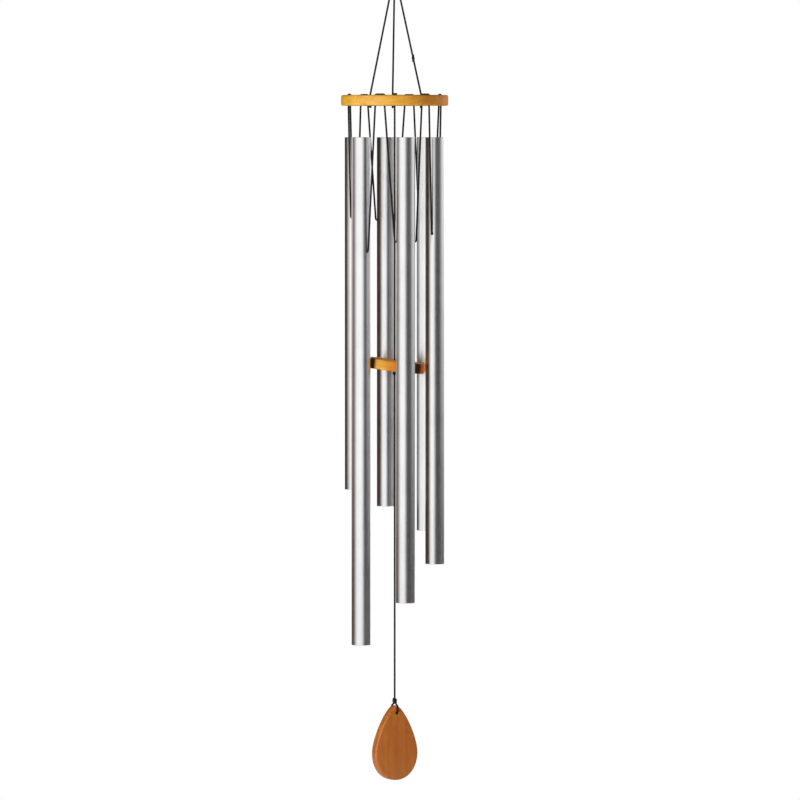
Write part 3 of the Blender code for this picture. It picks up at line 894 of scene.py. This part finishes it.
def sail_half_outline(steps=26):
    """The right half of the teardrop from its tip to its foot, as (x, depth below the tip)."""
    belly = SAIL_HEIGHT - SAIL_WIDEST
    tip = [
        (0, 0),
        (11 * MM, 0),
        (SAIL_HALF_WIDTH, SAIL_WIDEST - 25 * MM),
        (SAIL_HALF_WIDTH, SAIL_WIDEST),
    ]
    foot = [
        (SAIL_HALF_WIDTH, SAIL_WIDEST),
        (SAIL_HALF_WIDTH, SAIL_WIDEST + ROUND_HANDLE * belly),
        (SAIL_FOOT_HANDLE * SAIL_HALF_WIDTH, SAIL_HEIGHT),
        (0, SAIL_HEIGHT),
    ]
    points = []
    for segment in (tip, foot):
        for i in range(steps):
            t = i / steps
            weights = ((1 - t) ** 3, 3 * t * (1 - t) ** 2, 3 * t * t * (1 - t), t**3)
            points.append(tuple(sum(w * p[k] for w, p in zip(weights, segment)) for k in (0, 1)))
    return points + [(0, SAIL_HEIGHT)]


def make_sail():
    """The teardrop board: its outline is drawn in towards each face to round the edges."""
    half = sail_half_outline()
    outline = half + [(-x, d) for x, d in reversed(half[1:-1])]
    line = np.array(outline)
    ahead, behind = np.roll(line, -1, axis=0), np.roll(line, 1, axis=0)
    along = ahead - behind
    inward = np.stack([-along[:, 1], along[:, 0]], axis=1)
    inward /= np.linalg.norm(inward, axis=1)[:, None]
    centre = np.array((0, SAIL_WIDEST))
    inward *= np.sign(((centre - line) * inward).sum(1))[:, None]
    half_depth = SAIL_THICKNESS / 2
    steps = arc((0, 0), SAIL_EDGE, 90, 0, 7)
    layers = [(SAIL_EDGE - x, half_depth - SAIL_EDGE + z) for x, z in steps]
    layers += [(inset, -depth) for inset, depth in reversed(layers)]
    verts, faces, count = [], [], len(line)
    for inset, depth in layers:
        for x, d in line + inward * inset:
            verts.append((x, -depth, -d))
    for i in range(len(layers) - 1):
        for j in range(count):
            k = (j + 1) % count
            faces.append((i * count + j, i * count + k, (i + 1) * count + k, (i + 1) * count + j))
    faces.append(tuple(range(count)))
    faces.append(tuple((len(layers) - 1) * count + j for j in reversed(range(count))))
    mesh = bpy.data.meshes.new("sail_board")
    mesh.from_pydata(verts, [], faces)
    shape = bmesh.new()
    shape.from_mesh(mesh)
    bmesh.ops.recalc_face_normals(shape, faces=shape.faces)
    shape.to_mesh(mesh)
    shape.free()
    sail = show("sail_board", mesh, SAIL_WOOD)
    drop = SAIL_CORD_DEPTH - CORD_RADIUS - GAP + SAIL_HOLE_RADIUS
    drill = drill_mesh(SAIL_HOLE_RADIUS, half_depth, 0.4 * MM)
    cut(sail, drill, Matrix.Translation((0, 0, -drop)) @ Matrix.Rotation(math.pi / 2, 4, "X"))
    smooth_with_creases(sail)
    turn = Matrix.Rotation(math.radians(SAIL_TURN), 4, "Z")
    sail.matrix_world = Matrix.Translation((0, 0, SAIL_TIP)) @ turn
    settle(sail, "sail", "sail_wood", "sail")


# --- Stage, light and camera -----------------------------------------------------------------

FLOOR_Z = -1.52
FLOOR_RADIUS = 2.0
ROOM_TONE = (0.052, 0.048, 0.047)
BROWN_TONE = (0.065, 0.04, 0.027)
BROWN_SIDE = (-0.77, 0.64, 0.0)  # the direction in which the room is brown
CAMERA_LENS = 270
CAMERA_X = 8.0 * MM
CAMERA_DISTANCE = 9.018
AIM_DROP = 0.395  # below the tubes' tops

# Lights. Azimuth 0 is in front and positive is to the right, in degrees. A light's azimuths are
# where it is dark and full on its left, then full and dark on its right; its levels are the
# heights of the same from low to high.
KEY_RADIANCE = 1.35
KEY_LEVELS = (-1.9, -1.1, 0.3, 1.0)
TUBE_KEYS = (  # (distance, azimuths) for tube 1 and on
    (1.9, (-104, -40, 6, 46)),
    (1.93, (-112, -48, -17, 23)),
    (1.96, (-82, -44, -20, 16)),
    (1.99, (-122, -68, -10, 20)),
    (2.02, (-84, -40, -10, 20)),
    (2.05, (-108, -42, -22, 14)),
)


def make_floor():
    bpy.ops.mesh.primitive_circle_add(
        vertices=96, radius=FLOOR_RADIUS, fill_type="NGON", location=(0, 0, FLOOR_Z)
    )
    floor = bpy.context.object
    floor.name = "floor"
    floor.data.materials.append(floor_material())


def faded(tree, value, dark, full):
    """A node value that rises smoothly from 0 at dark to 1 at full."""
    node = tree.nodes.new("ShaderNodeMapRange")
    node.interpolation_type = "SMOOTHSTEP"
    node.inputs["From Min"].default_value = min(dark, full)
    node.inputs["From Max"].default_value = max(dark, full)
    if dark > full:
        node.inputs["To Min"].default_value, node.inputs["To Max"].default_value = 1.0, 0.0
    tree.links.new(value, node.inputs["Value"])
    return node.outputs[0]


def soft_box(name, distance, azimuths, levels, radiance, reflected=True):
    """An upright diffused light facing the chime, fading at its sides and over its levels."""
    half = math.radians(azimuths[3] - azimuths[0]) / 2
    angle = math.radians(azimuths[3] + azimuths[0]) / 2
    data = bpy.data.lights.new(name, "AREA")
    data.shape = "RECTANGLE"
    data.size, data.size_y = 2 * distance * math.tan(half), levels[3] - levels[0]
    data.energy = radiance * math.pi * data.size * data.size_y
    light = bpy.data.objects.new(name, data)
    bpy.context.scene.collection.objects.link(light)
    outward = Vector((math.sin(angle), -math.cos(angle), 0))
    light.location = outward * distance + Vector((0, 0, (levels[0] + levels[3]) / 2))
    light.rotation_euler = (-outward).to_track_quat("-Z", "Y").to_euler()
    light.visible_glossy = reflected
    light.visible_camera = False
    data.use_nodes = True
    tree = data.node_tree

    def number(operation, first, second):
        node = tree.nodes.new("ShaderNodeMath")
        node.operation = operation
        for socket, value in zip(node.inputs, (first, second)):
            if isinstance(value, bpy.types.NodeSocket):
                tree.links.new(value, socket)
            else:
                socket.default_value = value
        return node.outputs[0]

    parts = tree.nodes.new("ShaderNodeSeparateXYZ")
    place = tree.nodes.new("ShaderNodeNewGeometry").outputs["Position"]
    tree.links.new(place, parts.inputs[0])
    azimuth = number("ARCTAN2", parts.outputs[0], number("MULTIPLY", parts.outputs[1], -1.0))
    turns = [math.radians(a) for a in azimuths]
    product = 1.0
    for value, edges in ((azimuth, turns), (parts.outputs[2], levels)):
        for dark, full in (edges[:2], edges[:1:-1]):
            product = number("MULTIPLY", product, faded(tree, value, dark, full))
    tree.links.new(product, tree.nodes["Emission"].inputs["Strength"])
    return light


def reach_only(light, pieces, state="INCLUDE"):
    """Limits a light to some pieces, or leaves those out of it."""
    group = bpy.data.collections.new(f"{light.name}_reach")
    for piece in pieces:
        group.objects.link(piece)
    for entry in group.collection_objects:
        entry.light_linking.link_state = state
    light.light_linking.receiver_collection = group


def make_world():
    """White to the camera; to everything else a dim warm room, darker and browner behind left."""
    world = bpy.data.worlds.new("studio")
    bpy.context.scene.world = world
    world.use_nodes = True
    tree = world.node_tree
    tree.nodes.clear()
    output = tree.nodes.new("ShaderNodeOutputWorld")
    choose = tree.nodes.new("ShaderNodeMixShader")
    path = tree.nodes.new("ShaderNodeLightPath")
    room, backdrop = (tree.nodes.new("ShaderNodeBackground") for _ in range(2))
    backdrop.inputs["Color"].default_value = (1, 1, 1, 1)
    backdrop.inputs["Strength"].default_value = 1.0
    direction = tree.nodes.new("ShaderNodeTexCoord").outputs["Generated"]
    behind = tree.nodes.new("ShaderNodeVectorMath")
    behind.operation = "DOT_PRODUCT"
    behind.inputs[1].default_value = BROWN_SIDE
    tree.links.new(direction, behind.inputs[0])
    mix = tree.nodes.new("ShaderNodeMix")
    mix.data_type = "RGBA"
    tree.links.new(faded(tree, behind.outputs["Value"], 0.0, 0.7), mix.inputs[0])
    mix.inputs[6].default_value = (*ROOM_TONE, 1)
    mix.inputs[7].default_value = (*BROWN_TONE, 1)
    tree.links.new(mix.outputs[2], room.inputs["Color"])
    tree.links.new(path.outputs["Is Camera Ray"], choose.inputs[0])
    tree.links.new(room.outputs[0], choose.inputs[1])
    tree.links.new(backdrop.outputs[0], choose.inputs[2])
    tree.links.new(choose.outputs[0], output.inputs[0])


def make_camera():
    """A long lens, level with the tubes' tops, aimed a little down."""
    data = bpy.data.cameras.new("camera")
    data.lens = CAMERA_LENS
    data.sensor_width = 36
    data.clip_end = 100
    camera = bpy.data.objects.new("camera", data)
    bpy.context.scene.collection.objects.link(camera)
    camera.location = (CAMERA_X, -CAMERA_DISTANCE, TUBE_TOP)
    aim = Vector((CAMERA_X, 0, TUBE_TOP - AIM_DROP))
    camera.rotation_euler = (aim - camera.location).to_track_quat("-Z", "Y").to_euler()
    bpy.context.scene.camera = camera


def make_metal_lights():
    """Each tube has a key of its own, and all have a light behind for the views from there.

    The tubes on the left and at the front don't mask the keys in the other tubes' gloss."""
    pipes = [bpy.data.objects[f"pipe_{n}"] for n in range(1, 7)]
    for n in (1, 2, 6):
        pipes[n - 1].visible_glossy = False
    for n, (distance, azimuths) in enumerate(TUBE_KEYS, 1):
        key = soft_box(f"tube_{n}_key", distance, azimuths, KEY_LEVELS, KEY_RADIANCE)
        reach_only(key, [pipes[n - 1]])
    side = soft_box("side", 1.86, (-180, -160, -122, -96), (-1.3, -0.1, 0.5, 1.2), 0.75)
    reach_only(side, pipes[:2])
    behind = soft_box("behind", 1.9, (138, 158, 186, 204), (-1.5, -1.35, 0.5, 1.2), 1.3)
    reach_only(behind, pipes)
    return pipes


def make_lights():
    """A broad key from the left, a light behind right, a dim fill, and unreflected washes."""
    pipes = make_metal_lights()
    key = soft_box("key", 1.84, (-96, -56, -18, 22), KEY_LEVELS, KEY_RADIANCE)
    reach_only(key, pipes, "EXCLUDE")
    glint = soft_box("sail_glint", 2.1, (-56, -46, -30, -20), (-1.75, -1.45, -0.7, -0.3), 5.0)
    glint.visible_diffuse = False
    reach_only(glint, [bpy.data.objects["sail_board"]])
    soft_box("back", 1.87, (52, 102, 140, 178), (-1.2, -0.1, 0.5, 1.2), 1.2)
    soft_box("fill", 2.6, (-5, 30, 60, 95), (-1.2, -0.3, 0.5, 1.2), 0.08)
    soft_box("key_wash", 2.2, (-40, -33, -27, -20), (-1.3, -1.0, 0.2, 0.5), 11.0, reflected=False)
    soft_box("back_wash", 1.8, (114, 124, 132, 142), (-1.2, -0.8, 0.2, 0.5), 6.0, reflected=False)


def main():
    make_camera()
    make_suspension_cords(make_hanging_knot())
    make_hanger_ring()
    make_top_disc()
    for number, (degrees, length, offset) in enumerate(TUBES, 1):
        make_lacing_bridge(number, degrees + 30)
        make_tube_cord(number, degrees, length, offset)
        make_tube(number, degrees, length, offset)
    make_centre_knot()
    make_clapper()
    make_clapper_knot()
    make_sail_cord()
    make_sail_loop()
    make_sail()
    make_floor()
    make_world()
    make_lights()
    bpy.context.scene.view_settings.view_transform = "Standard"


main()
